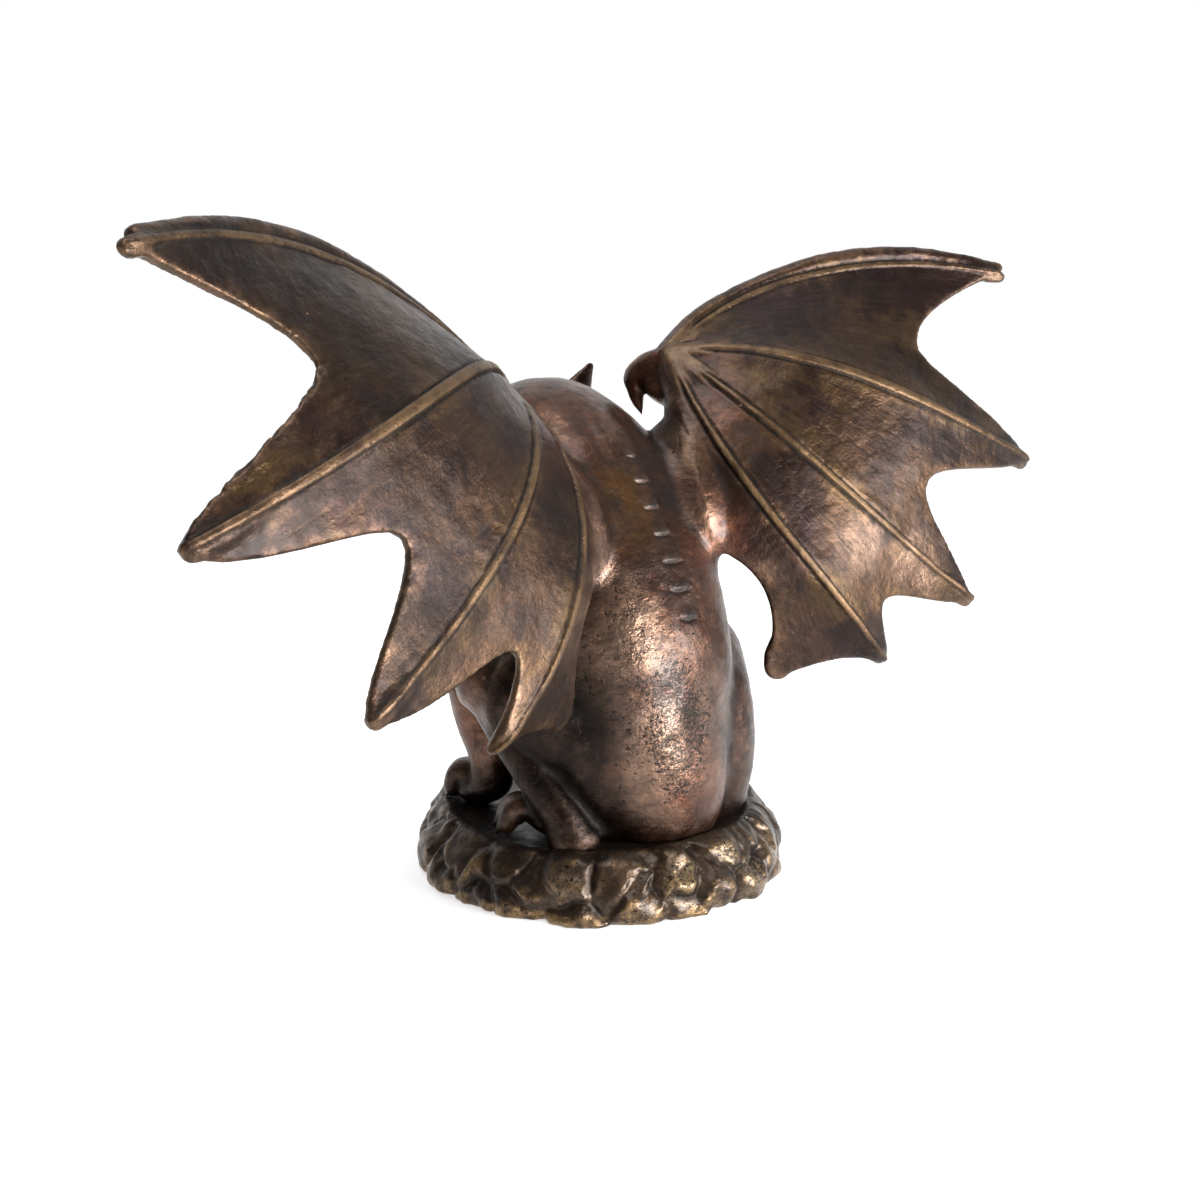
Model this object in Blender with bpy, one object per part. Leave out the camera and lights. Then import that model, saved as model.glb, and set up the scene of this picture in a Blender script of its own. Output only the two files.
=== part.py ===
"""Bronze gargoyle with spread bat wings, crouching on a round rock plinth.

Two castings, each one closed solid: the figure with its wings, and the plinth under it.
Frame: metres, +Z up, origin at the centre of the plinth's underside. The gargoyle faces -Y,
and its left wing points to +X. Sizes in this file are millimetres, turned to metres by MM.
"""

import math

import bmesh
import bpy
import numpy as np
from mathutils import Vector

MM = 0.001

# Plinth
PLINTH_TOP = 33.0  # height of the ledge that the figure stands on
PLINTH_RIM = 2.6  # how far the rocky rim rises above the ledge
PLINTH_RADIUS = 107.5
LEDGE_RADIUS = 85.5
PLINTH_SIDES = 60
BOULDERS = 26
BOULDER_SIZE = (11.0, 17.0)  # smallest and largest half width
BOULDER_SWELL = 8.0
RIM_BUMPS = 7
CREST_INSET = 17.0
# Height, and how far the outline is drawn in from the widest, up the side of the plinth
PLINTH_PROFILE = ((0, 0.0), (4, -1.0), (10, 0.0), (16, 1.5), (22, 4.5), (28, 9.0), (PLINTH_TOP, 13.5))
CASTING_GAP = 0.3  # between the figure and the plinth

# Wing, written for the left side; the right one is its mirror image, held a little higher
WRIST = (63.0, -12.6, 300.6)
LEFT_WRIST_DROP = 20.0  # how much lower the left wrist is
FINGERS = (  # two handles and the tip of each finger's curve, which starts at the wrist
    ((131.0, -28.0, 345.0), (221.0, 9.0, 370.0), (305.0, 56.0, 352.0)),
    ((109.0, 39.0, 314.0), (170.0, 91.0, 280.0), (300.0, 86.0, 229.0)),
    ((83.0, 77.0, 256.0), (135.0, 89.0, 203.0), (223.0, 103.0, 146.0)),
    ((36.0, 51.0, 242.0), (92.0, 107.0, 167.0), (150.0, 93.0, 116.0)),
)
TRAILING_EDGE = (  # down the arm to the back, then the free edge to the trailing corner
    WRIST,
    (58.0, 6.0, 272.0),
    (52.0, 26.0, 242.0),
    (47.0, 43.0, 212.0),
    (49.0, 51.0, 188.0),
    (59.0, 60.0, 179.0),
    (69.0, 65.0, 166.0),
    (75.0, 67.0, 150.0),
    (77.5, 66.0, 131.0),
    (84.0, 64.0, 108.0),
)
# Scallops between the fingertips, for the left wing (1) and the right one (-1): deepest place
# across each web, the powers of its two flanks, and its depth as a share of the fingers
SCALLOP_PLACE = {1: (0.61, 0.50, 0.62, 0.45), -1: (0.61, 0.53, 0.62, 0.36)}
SCALLOP_RISE = {1: (1.0, 2.3, 2.9, 1.0), -1: (0.85, 1.5, 1.8, 1.0)}
SCALLOP_FALL = {1: (1.95, 1.5, 1.1, 1.0), -1: (1.6, 1.2, 1.1, 1.0)}
SCALLOP_DEPTH = {1: (0.275, 0.235, 0.215, 0.02), -1: (0.283, 0.240, 0.168, 0.035)}
TIP_OVERHANG = 0.006  # how far the web runs past the end of a finger, as a share of it
WEB_THICKNESS = 4.8
WEB_STEPS = 9  # columns between two fingers
WEB_ROWS = 30
RIB_RADIUS = (4.2, 3.2, 2.4)  # at the wrist, half way and at the fingertip
RIB_LIFT = 2.0  # from the middle of the web towards the back face
RIB_FACING = (0.15, 0.85, 0.5)
LEADING_BAR = (5.0, 6.5, 6.5, 4.0)  # radius at even steps from the wrist to the tip
LEADING_BAR_LIFT = {1: (1.5, 2.0, 3.5, 1.0), -1: (2.5, 3.0, 6.0, 4.5)}
LEADING_BAR_END = {1: 0.955, -1: 0.995}  # share of the first finger that the bar covers
LEADING_BAR_FORWARD = 5.0
TIP_PAD = ((0.86, 2.8), (0.92, 4.8), (0.955, 6.2), (0.985, 5.4))  # place along a finger, radius

# Remeshing
VOXEL = 2.6
SMOOTH_STEPS = 5
FIGURE_KEEP = 0.049  # share of the faces kept by the last decimation


def smooth_path(knots, per_span):
    """Points of a Catmull-Rom curve through the knots; each knot may carry a radius."""
    k = np.array(knots, float)
    k = np.vstack([2 * k[0] - k[1], k, 2 * k[-1] - k[-2]])
    u = np.linspace(0, 1, per_span, endpoint=False)[:, None]
    spans = []
    for a, b, c, d in zip(k, k[1:], k[2:], k[3:]):
        cubic = (-a + 3 * b - 3 * c + d) * u**3 + (2 * a - 5 * b + 4 * c - d) * u**2
        spans.append(b + 0.5 * (cubic + (c - a) * u))
    spans.append(k[-2:-1])
    return np.vstack(spans)


def wrist_drop(side):
    """How much lower than the right one the wrist of this side is."""
    return LEFT_WRIST_DROP if side > 0 else 0.0


def finger_curve(side, finger, t):
    """Points at t on a finger's cubic curve, which starts at the wrist."""
    p = [np.array(q) for q in (WRIST, *FINGERS[finger])]
    p[0][2] -= wrist_drop(side)
    p[1][2] += wrist_drop(side) / 3
    t = np.asarray(t)[..., None]
    return (
        (1 - t) ** 3 * p[0]
        + 3 * (1 - t) ** 2 * t * p[1]
        + 3 * (1 - t) * t**2 * p[2]
        + t**3 * p[3]
    )


def mirrored(points, side):
    """The points, with X turned round for the right side."""
    p = np.array(points, float)
    p[..., 0] *= side
    return p


def add_rings(bm, rings, start, end):
    """A closed skin over rings of equal count, with a pole at each end."""
    verts = [[bm.verts.new(p) for p in ring] for ring in rings]
    count = len(verts[0])
    for low, high in zip(verts, verts[1:]):
        for i in range(count):
            j = (i + 1) % count
            bm.faces.new((low[i], low[j], high[j], high[i]))
    for ring, pole in ((verts[0], start), (verts[-1], end)):
        tip = bm.verts.new(pole)
        for i in range(count):
            bm.faces.new((ring[i], ring[(i + 1) % count], tip))


def add_tube(bm, knots, sides=14, flat=1.0, up=(0, 0, 1), per_span=5):
    """A round-ended limb through knots of (x, y, z, radius). flat squeezes it along up."""
    path = smooth_path(knots, per_span)
    centres, radii = path[:, :3], np.maximum(path[:, 3], 0.4)
    tangents = np.gradient(centres, axis=0)
    tangents /= np.linalg.norm(tangents, axis=1)[:, None]
    caps = [math.radians(a) for a in (80, 60, 35)]
    back, ahead = -tangents[0] * radii[0], tangents[-1] * radii[-1]
    stations = [(centres[0] + back * math.sin(a), tangents[0], radii[0] * math.cos(a)) for a in caps]
    stations += list(zip(centres, tangents, radii))
    caps.reverse()
    stations += [(centres[-1] + ahead * math.sin(a), tangents[-1], radii[-1] * math.cos(a)) for a in caps]
    across = np.cross(tangents[0], up)
    if np.linalg.norm(across) < 0.2:
        across = np.array([1.0, 0, 0])
    turns = np.linspace(0, 2 * math.pi, sides, endpoint=False)
    rings = []
    for centre, tangent, radius in stations:
        across = across - tangent * across.dot(tangent)
        across = across / np.linalg.norm(across)
        over = np.cross(across, tangent)
        rings.append([centre + radius * (math.cos(a) * across + flat * math.sin(a) * over) for a in turns])
    add_rings(bm, rings, centres[0] + back, centres[-1] + ahead)


def add_ball(bm, centre, radii, sides=18):
    """An ellipsoid with its axes along X, Y and Z."""
    c, r = np.array(centre, float), np.array(radii, float)
    turns = np.linspace(0, 2 * math.pi, sides, endpoint=False)
    rings = []
    for lift in np.radians(np.linspace(-80, 80, 11)):
        level, height = math.cos(lift), math.sin(lift)
        rings.append([c + r * (level * math.cos(a), level * math.sin(a), height) for a in turns])
    add_rings(bm, rings, c - r * (0, 0, 1), c + r * (0, 0, 1))


# Torso sections from the seat to the nape: centre y and z, lean of the section in degrees
# from level, half width, half depth to the back, half depth to the belly, squareness.
TORSO = (
    (20, 30, 0, 46, 62, 40, 2.0),
    (18, 45, 0, 54, 68, 42, 2.0),
    (18, 70, 0, 62, 69, 44, 2.0),
    (16, 100, 4, 66, 67, 46, 2.1),
    (12, 132, 10, 65, 65, 48, 2.3),
    (4, 162, 20, 63, 59, 52, 2.6),
    (-7, 188, 32, 60, 54, 55, 2.6),
    (-20, 210, 44, 58, 54, 52, 2.4),
    (-38, 228, 58, 55, 52.5, 48, 2.2),
    (-60, 238, 74, 49, 50.5, 42, 2.1),
    (-82, 240, 86, 41, 43, 36, 2.0),
    (-98, 240, 90, 34, 35, 30, 2.0),
)


def add_torso(bm):
    """The trunk as one skin over leaning sections, from the seat over the hump to the neck."""
    t = smooth_path(TORSO, 3)
    turns = np.linspace(0, 2 * math.pi, 36, endpoint=False)
    rings, middles = [], []
    for y, z, lean, wide, back, front, square in t:
        lean = math.radians(lean)
        outward = np.array([0, math.cos(lean), math.sin(lean)])
        centre = np.array([0, y, z])
        ring = []
        for a in turns:
            c, s = math.cos(a), math.sin(a)
            x = wide * math.copysign(abs(c) ** (2 / square), c)
            depth = (back if s > 0 else front) * math.copysign(abs(s) ** (2 / square), s)
            ring.append(centre + (x, 0, 0) + depth * outward)
        rings.append(ring)
        middles.append(centre)
    add_rings(bm, rings, middles[0] - (0, 0, 4), middles[-1] + (0, -6, 0))


LEFT_HAUNCH = (  # hip to knee: x, y, z, radius
    (32, 42, 50, 24),
    (34, 40, 66, 28),
    (38, 34, 84, 30),
    (54, 14, 104, 33),
    (66, 0, 114, 31),
    (72, -8, 118, 24),
)
RIGHT_HAUNCH = (
    (42, 46, 42, 26),
    (43, 46, 62, 29),
    (45, 44, 84, 30),
    (50, 32, 104, 31),
    (60, 10, 116, 34),
    (70, -6, 118, 29),
)


def add_limbs(bm, side):
    """Hind leg, foreleg, their paws, and the muscles of the back on one side."""

    def limb(knots, **how):
        add_tube(bm, mirrored(knots, side), **how)

    # Hind leg: the haunch, fuller on the right, then the shin, the foot and the spur of the heel
    limb(LEFT_HAUNCH if side > 0 else RIGHT_HAUNCH, per_span=4)
    limb(((75, -10, 119, 17), (76, 6, 97, 13.5), (70, 25, 71, 11.5), (62, 42, 49, 12), (58, 48, 40, 13)))
    limb(((56, 51, 38, 11), (60, 38, 41, 10), (65, 27, 44, 9.5)), flat=0.85)
    limb(((84, 10, 100, 4.5), (90, 12, 103, 2.8), (92, 13, 108, 0.8)), sides=10, per_span=3)
    for turn, reach in ((-17, 20), (2, 24), (22, 21)):
        add_toe(bm, side, (65, 27, 43), 29 + turn, reach)

    # Foreleg
    limb(((44, -36, 205, 28), (54, -46, 178, 25), (58, -49, 148, 21.5), (59, -49, 116, 18.5)), per_span=4)
    limb(((59, -49, 118, 18), (58, -43, 90, 16.5), (56, -36, 68, 14), (56, -35, 52, 13)), per_span=4)
    limb(((56, -35, 47, 13), (58, -42, 43, 12), (60, -47, 41, 10)), flat=0.85)
    for turn, reach in ((-20, 15), (0, 17), (20, 15)):
        add_toe(bm, side, (60, -46, 41), 14 + turn, reach)

    # Shoulder, flank, breast and the muscle at the root of the wing
    add_ball(bm, (side * 42, -34, 206), (27, 30, 34))
    add_ball(bm, (side * 17, -47, 184), (28, 22, 32))
    drop = wrist_drop(side)
    limb(
        (
            (40, 30, 170, 5),
            (45, 39, 188, 11),
            (46, 34, 210, 16),
            (50, 20, 238 - 0.3 * drop, 16),
            (57, 3, 270 - 0.7 * drop, 13),
            (63, -12, 295 - drop, 9),
        )
    )
    limb(
        ((30, 26, 180, 12), (34, 26, 206, 17), (40, 14, 228 - 0.2 * drop, 18), (48, 4, 250 - 0.5 * drop, 13)),
        per_span=4,
    )


def add_toe(bm, side, root, outward, reach):
    """An arched toe and its claw. outward is its heading in degrees away from straight ahead."""
    heading = np.array([math.sin(math.radians(outward)), -math.cos(math.radians(outward)), 0])
    root = np.array(root, float)

    def at(share, z, radius):
        x, y, _ = root + heading * reach * share
        return (side * x, y, z, radius)

    toe = (at(0.0, 45, 9.0), at(0.4, 51, 8.4), at(0.76, 48.5, 7.4), at(0.98, 41, 6.0))
    claw = (at(0.96, 42, 4.2), at(1.16, 39, 2.9), at(1.3, 34.6, 1.0))
    add_tube(bm, toe, sides=10, per_span=3)
    add_tube(bm, claw, sides=8, per_span=3)


def add_head(bm):
    """A blunt muzzle, heavy brow, cheeks and pointed ears."""
    add_ball(bm, (0, -104, 243), (38, 42, 37))
    add_ball(bm, (0, -132, 230), (25, 27, 18))
    add_tube(bm, ((0, -106, 216, 19), (0, -124, 211, 17), (0, -142, 212, 12)), flat=0.75)
    add_ball(bm, (0, -155, 236), (11, 8, 7))
    half = ((32, -119, 254, 8), (15, -137, 254, 8))
    brow = [(-x, y, z, r) for x, y, z, r in half] + [(0, -137, 248, 7.5)] + list(reversed(half))
    add_tube(bm, brow, sides=10)
    for side in (1, -1):
        add_ball(bm, (side * 25, -114, 224), (15, 19, 17))
        ear = ((40, -96, 255, 15), (50, -94, 267, 13), (58, -92, 279, 9), (64, -90, 290, 4))
        add_tube(bm, mirrored(ear, side), sides=12, flat=0.45, up=(0.25 * side, 1, 0.2))


def scallop(place, rise, fall, f):
    """0 at both fingertips and 1 at the deepest place of the scallop between them."""
    before = np.sin(math.pi / 2 * np.clip(f / place, 0, 1)) ** rise
    after = np.sin(math.pi / 2 * np.clip((1 - f) / (1 - place), 0, 1)) ** fall
    return np.where(f < place, before, after)


def trailing_edge(side, s):
    """Points at shares s of the length of the arm and the free edge."""
    knots = np.array(TRAILING_EDGE)
    knots[:4, 2] -= wrist_drop(side) * np.array([1, 0.7, 0.4, 0.1])
    path = smooth_path(knots, 24)
    steps = np.linalg.norm(np.diff(path, axis=0), axis=1)
    along = np.concatenate([[0], np.cumsum(steps)]) / steps.sum()
    return np.stack([np.interp(s, along, path[:, i]) for i in range(3)], -1)


def web_reach(side, web, f):
    """How far out the web goes at f between two fingers, as a share of their length."""
    cut = scallop(SCALLOP_PLACE[side][web], SCALLOP_RISE[side][web], SCALLOP_FALL[side][web], f)
    return 1 - SCALLOP_DEPTH[side][web] * cut + TIP_OVERHANG * (1 - cut) ** 2


def web_points(side, web, f, s):
    """The middle of the web between two fingers, at share f across it and shares s out."""
    near = finger_curve(side, web, s)
    far = trailing_edge(side, s) if web == 3 else finger_curve(side, web + 1, s)
    return (1 - f) * near + f * far


def web_grid(side):
    """Middle of the wing's web: rows run out from the wrist, columns go from finger to finger."""
    rows = np.linspace(0.03, 1, WEB_ROWS)
    columns = []
    for web in range(4):
        for f in np.linspace(0, 1, WEB_STEPS + 1)[: WEB_STEPS + (web == 3)]:
            columns.append(web_points(side, web, f, rows * web_reach(side, web, f)))
    return np.array(columns)


def add_wing(bm, side):
    """One wing: web, finger ribs and tips, leading bar, thumb claw and curled trailing corner."""
    grid = web_grid(side)
    across = np.gradient(grid, axis=0)
    along = np.gradient(grid, axis=1)
    normal = np.cross(along, across)
    normal /= np.linalg.norm(normal, axis=2)[..., None] + 1e-9
    half = WEB_THICKNESS / 2 * normal
    skins = []
    for offset in (half, -half):
        skins.append([[bm.verts.new(p) for p in column] for column in mirrored(grid + offset, side)])
    top, under = skins
    last_column, last_row = len(grid) - 1, WEB_ROWS - 1
    for i in range(last_column):
        for j in range(last_row):
            bm.faces.new((top[i][j], top[i + 1][j], top[i + 1][j + 1], top[i][j + 1]))
            bm.faces.new((under[i][j], under[i][j + 1], under[i + 1][j + 1], under[i + 1][j]))
        for j in (0, last_row):
            bm.faces.new((top[i][j], under[i][j], under[i + 1][j], top[i + 1][j]))
    for j in range(last_row):
        for i in (0, last_column):
            bm.faces.new((top[i][j], top[i][j + 1], under[i][j + 1], under[i][j]))

    t = np.linspace(0.0, 0.97, 9)
    pad_places, pad_radii = np.array(TIP_PAD).T
    for finger in range(len(FINGERS)):
        lifted = finger_curve(side, finger, t) + RIB_LIFT * np.array(RIB_FACING)
        radii = np.interp(t, (0, 0.5, 1), RIB_RADIUS)
        add_tube(bm, mirrored(np.column_stack([lifted, radii]), side), sides=8, per_span=2)
        shrink = 0.8 if finger == 0 else 1.0
        pad = np.column_stack([web_points(side, finger, 0.022, pad_places), shrink * pad_radii])
        add_tube(bm, mirrored(pad, side), sides=10, flat=0.62, up=mirrored(RIB_FACING, side), per_span=3)
    t = np.linspace(0.0, LEADING_BAR_END[side], 9)
    steps = np.linspace(0, 1, len(LEADING_BAR))
    bar = finger_curve(side, 0, t)
    bar[:, 1] -= LEADING_BAR_FORWARD
    bar[:, 2] += np.interp(t, steps, LEADING_BAR_LIFT[side])
    bar = np.column_stack([bar, np.interp(t, steps, LEADING_BAR)])
    add_tube(bm, mirrored(bar, side), sides=12, per_span=2)

    thumb = (
        (64, -13, 297, 9.0),
        (58, -24, 292, 10.5),
        (53, -31, 286, 9.0),
        (50, -33, 279, 6.6),
        (48, -30, 271, 4.2),
        (47, -23, 262.5, 1.4),
    )
    knob = ((66, -12, 292, 11), (58, -20, 283, 11.5), (60, -8, 276, 11))
    for knots in (thumb, knob):
        knots = mirrored(knots, side)
        knots[:, 2] -= wrist_drop(side)
        add_tube(bm, knots, sides=12)
    curl = (
        (80, 67, 138, 2.4),
        (77.5, 65, 129, 3.2),
        (77, 63.5, 120, 3.8),
        (80.5, 63.5, 112.5, 3.8),
        (89, 66, 110, 2.8),
    )
    add_tube(bm, mirrored(curl, side), sides=10, per_span=3)


def new_object(name, bm, colour, roughness):
    """A mesh object in metres, with outward faces, smooth shading and its own material."""
    bmesh.ops.scale(bm, vec=(MM, MM, MM), verts=bm.verts)
    bmesh.ops.recalc_face_normals(bm, faces=bm.faces)
    mesh = bpy.data.meshes.new(name)
    bm.to_mesh(mesh)
    bm.free()
    mesh.shade_smooth()
    material = bpy.data.materials.new(name + "_bronze")
    material.use_nodes = True
    shader = material.node_tree.nodes["Principled BSDF"]
    shader.inputs["Base Color"].default_value = (*colour, 1)
    shader.inputs["Metallic"].default_value = 1.0
    shader.inputs["Roughness"].default_value = roughness
    mesh.materials.append(material)
    ob = bpy.data.objects.new(name, mesh)
    bpy.context.scene.collection.objects.link(ob)
    return ob


def make_figure():
    """The gargoyle: overlapping skins fused to one body, smoothed, and cut level at the feet."""
    bm = bmesh.new()
    add_torso(bm)
    add_head(bm)
    for side in (1, -1):
        add_limbs(bm, side)
        add_wing(bm, side)
    figure = new_object("gargoyle", bm, (0.115, 0.060, 0.038), 0.38)

    fuse = figure.modifiers.new("fuse", "REMESH")
    fuse.mode = "VOXEL"
    fuse.voxel_size = VOXEL * MM
    soften = figure.modifiers.new("soften", "SMOOTH")
    soften.factor = 0.5
    soften.iterations = SMOOTH_STEPS
    thin = figure.modifiers.new("thin", "DECIMATE")
    thin.ratio = FIGURE_KEEP
    thin.use_collapse_triangulate = True

    box = bmesh.new()
    bmesh.ops.create_cube(box, size=400)
    bmesh.ops.translate(box, vec=Vector((0, 0, PLINTH_TOP + CASTING_GAP - 200)), verts=box.verts)
    cutter = new_object("seat_cutter", box, (0.5, 0.5, 0.5), 0.5)
    cutter.hide_render = True
    cutter.display_type = "WIRE"
    seat = figure.modifiers.new("seat", "BOOLEAN")
    seat.operation = "DIFFERENCE"
    seat.solver = "EXACT"
    seat.object = cutter
    return figure


def rock_radius(turn, height):
    """Outer radius of the rock at a bearing and a height, swollen by scattered boulders."""
    golden_angle = math.pi * (3 - math.sqrt(5))
    smallest, largest = BOULDER_SIZE
    swell = 0.0
    for n in range(BOULDERS):
        level = PLINTH_TOP * (0.25 + 0.5 * ((n * 0.618) % 1.0))
        size = smallest + (largest - smallest) * ((n * 0.377) % 1.0)
        away = (turn - n * golden_angle + math.pi) % (2 * math.pi) - math.pi
        distance = math.hypot(away * PLINTH_RADIUS, height - level) / size
        swell = max(swell, math.exp(-distance * distance))
    return PLINTH_RADIUS + BOULDER_SWELL * (swell - 0.5)


def make_plinth():
    """The round rock plinth, with a bumpy rim around the level top."""
    bm = bmesh.new()
    turns = np.linspace(0, 2 * math.pi, PLINTH_SIDES, endpoint=False)

    def at(turn, radius, height):
        return Vector((radius * math.cos(turn), radius * math.sin(turn), height))

    rings = []
    for height, inset in PLINTH_PROFILE:
        rings.append([at(a, rock_radius(a, height) - inset, height) for a in turns])
    crest = []
    for a in turns:
        height = PLINTH_TOP + PLINTH_RIM * (0.5 + 0.5 * math.sin(RIM_BUMPS * a))
        crest.append(at(a, rock_radius(a, PLINTH_TOP) - CREST_INSET, height))
    rings.append(crest)
    rings.append([at(a, LEDGE_RADIUS, PLINTH_TOP) for a in turns])
    add_rings(bm, rings, Vector((0, 0, 0)), Vector((0, 0, PLINTH_TOP)))
    return new_object("rock_plinth", bm, (0.150, 0.095, 0.045), 0.40)


def main():
    for ob in list(bpy.data.objects):
        bpy.data.objects.remove(ob, do_unlink=True)
    make_plinth()
    make_figure()


main()
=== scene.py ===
"""Looks of the bronze gargoyle statue: sculpted figure, rock plinth, patina, floor, light and camera.

The figure is built from overlapping skins that are fused by a voxel remesh, smoothed where flesh meets
flesh, and then carved vertex by vertex: wing ribs with their grooves, spine scales, face, toes, chips.
Sizes are millimetres in the row frame (the gargoyle faces -Y, +X is its left), turned to metres by MM.
"""

import itertools
import math

import bmesh
import bpy
import numpy as np
from mathutils import Matrix, Vector, kdtree


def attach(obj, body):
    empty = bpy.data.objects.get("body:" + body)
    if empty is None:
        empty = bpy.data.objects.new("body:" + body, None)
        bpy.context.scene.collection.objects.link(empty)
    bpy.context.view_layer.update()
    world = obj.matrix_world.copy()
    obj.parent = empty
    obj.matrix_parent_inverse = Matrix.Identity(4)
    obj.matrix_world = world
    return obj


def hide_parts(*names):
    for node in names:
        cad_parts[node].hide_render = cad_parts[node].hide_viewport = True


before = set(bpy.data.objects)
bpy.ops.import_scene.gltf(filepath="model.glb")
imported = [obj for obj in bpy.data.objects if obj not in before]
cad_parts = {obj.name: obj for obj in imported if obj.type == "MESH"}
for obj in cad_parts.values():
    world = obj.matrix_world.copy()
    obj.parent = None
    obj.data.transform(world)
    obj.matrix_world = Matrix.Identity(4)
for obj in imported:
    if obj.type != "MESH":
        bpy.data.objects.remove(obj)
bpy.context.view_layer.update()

MM = 0.001
SIDES = (1, -1)  # left, right

# Plinth
LEDGE = 33  # height of the ledge under the figure
PLINTH_RADIUS = 107.5

# Wing, written for the left side; the right one is its mirror image. The dicts go by side.
WRIST = (63, -12.6, 300.6)
WRIST_DROP = {1: 20, -1: 0}  # the left wing is held lower
FINGERS = (  # two handles and the tip of each finger's curve, which starts at the wrist
    ((131, -28, 345), (221, 9, 370), (305, 56, 352)),
    ((109, 39, 314), (170, 91, 280), (300, 86, 229)),
    ((83, 77, 256), (135, 89, 203), (223, 103, 146)),
    ((36, 51, 242), (92, 107, 167), (150, 93, 116)),
)
TRAILING_EDGE = (  # down the arm to the back, then the free edge to the trailing corner
    WRIST, (58, 6, 272), (52, 26, 242), (47, 43, 212), (49, 51, 188),
    (59, 60, 179), (69, 65, 166), (75, 67, 150), (77.5, 66, 131), (84, 64, 108),
)
# The scallops between fingertips: where each is deepest, how steep its two sides are, and its depth
SCALLOP_PLACE = {1: (0.61, 0.5, 0.62, 0.45), -1: (0.61, 0.53, 0.62, 0.36)}
SCALLOP_RISE = {1: (1, 2.3, 2.9, 1), -1: (0.85, 1.5, 1.8, 1)}
SCALLOP_FALL = {1: (1.95, 1.5, 1.1, 1), -1: (1.6, 1.2, 1.1, 1)}
SCALLOP_DEPTH = {1: (0.275, 0.235, 0.215, 0.02), -1: (0.283, 0.24, 0.168, 0.035)}
TIP_OVERHANG = {1: 0, -1: -0.006}  # how far the web passes the fingertips
TIP_PAD_END = {1: 0.988, -1: 0.981}  # how far out the fingertips' pads go
TIP_PAD = (3.2, 5.6, 6.9, 6)  # radii of the pad that rounds a fingertip
WEB_THICKNESS = 4.6
WEB_STEPS = 16  # columns between two fingers
WEB_ROWS = 60
RIB_WIDTH = (1.8, 2.9, 2.8, 1.7)  # half width of the raised strap at even steps to the tip
RIB_SHARE = (0.75, 1, 0.74, 0.72)  # width of each finger's rib compared with the widest
RIB_HEIGHT = 1.2
GROOVE_DEPTH = 0.8
GROOVE_WIDTH = 0.9
LEADING_BAR = (5, 6.5, 6.5, 4)  # radii of the bar along the wing's front edge
LEADING_BAR_LIFT = {1: (1.5, 2, 3.5, 1), -1: (2.5, 3, 6, 4.5)}  # above the first finger's curve
LEADING_BAR_END = {1: 0.955, -1: 0.995}
LEADING_BAR_FORWARD = 5
LEADING_STRAP_SHIFT = 2  # from the first finger's curve towards the second finger
RIB_STATIONS = 400

# Figure
VOXEL = 1
FIGURE_TRIANGLES = 196000
SCALES = 8  # raised scales down the spine
SCALES_SIDE = -4  # how far their row lies off the middle
LEG_CREASE = ((67, 32, 94), (61, 43, 74), (54, 53, 57), (45, 60, 40))  # between shin and rump
SPINE = (  # y and z of the back's middle line, from the rump up over the hump
    (86, 57), (85, 80), (82, 114), (76, 142), (71, 160), (63, 175), (54, 192), (47, 205),
    (39, 219), (32, 232), (27, 240), (15, 254), (-3, 270), (-31, 283), (-55, 286),
)


def smooth_path(knots, per_span):
    """Points of a Catmull-Rom curve through the knots; each knot may carry a radius."""
    k = np.array(knots, float)
    k = np.vstack([2 * k[0] - k[1], k, 2 * k[-1] - k[-2]])
    u = np.linspace(0, 1, per_span, endpoint=False)[:, None]
    spans = []
    for a, b, c, d in zip(k, k[1:], k[2:], k[3:]):
        cubic = (-a + 3 * b - 3 * c + d) * u**3 + (2 * a - 5 * b + 4 * c - d) * u**2
        spans.append(b + 0.5 * (cubic + (c - a) * u))
    spans.append(k[-2:-1])
    return np.vstack(spans)


def unit(vectors, guard=0):
    """The vectors at length 1; a small guard keeps the ones without a length from failing."""
    return vectors / (np.linalg.norm(vectors, axis=-1, keepdims=True) + guard)


def turns_of(count):
    """Even angles round a circle."""
    return np.linspace(0, 2 * math.pi, count, endpoint=False)


def bump(distance, width):
    """A bell from 1 at no distance to 0."""
    return np.exp(-((distance / width) ** 2))


def ramp(value, start, end):
    """0 at start and 1 at end, eased."""
    t = np.clip((value - start) / (end - start), 0, 1)
    return t * t * (3 - 2 * t)


HASH = np.array([374761393, 668265263, 1442695041])  # odd numbers that scatter the noise's cells


def noise(points, scale, seed=0):
    """Smooth noise from -1 to 1 at the points; scale is the size of its lumps."""
    p = points / scale + 100
    cell = np.floor(p)
    f = p - cell
    u = f * f * (3 - 2 * f)
    total = np.zeros(len(points))
    for corner in itertools.product((0, 1), repeat=3):
        h = ((cell.astype(np.int64) + corner) * HASH).sum(axis=1) + seed * 974711
        h = (h ^ (h >> 13)) * 1274126177
        h = h ^ (h >> 16)
        total += np.where(corner, u, 1 - u).prod(axis=1) * ((h & 0xFFFF) / 32767.5 - 1)
    return total


def distance_from(points, place, shape=(1, 1, 1)):
    """Distance of the points from a place, shorter along the axes where shape is over 1."""
    return np.linalg.norm((points - np.array(place)) / shape, axis=1)


def rough_noise(points, scale, seed=0, octaves=3):
    """Noise with finer noise added on top."""
    total = 0
    for k in range(octaves):
        total = total + noise(points, scale / 2**k, seed + k) / 2**k
    return total / 1.6


def new_object(name, data):
    """A new object with the data, linked to the scene."""
    ob = bpy.data.objects.new(name, data)
    bpy.context.scene.collection.objects.link(ob)
    return ob


def mesh_object(name, bm):
    """A new object made from a bmesh in metres."""
    bmesh.ops.recalc_face_normals(bm, faces=bm.faces)
    mesh = bpy.data.meshes.new(name)
    bm.to_mesh(mesh)
    bm.free()
    return new_object(name, mesh)


# ---- skins ----


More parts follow.
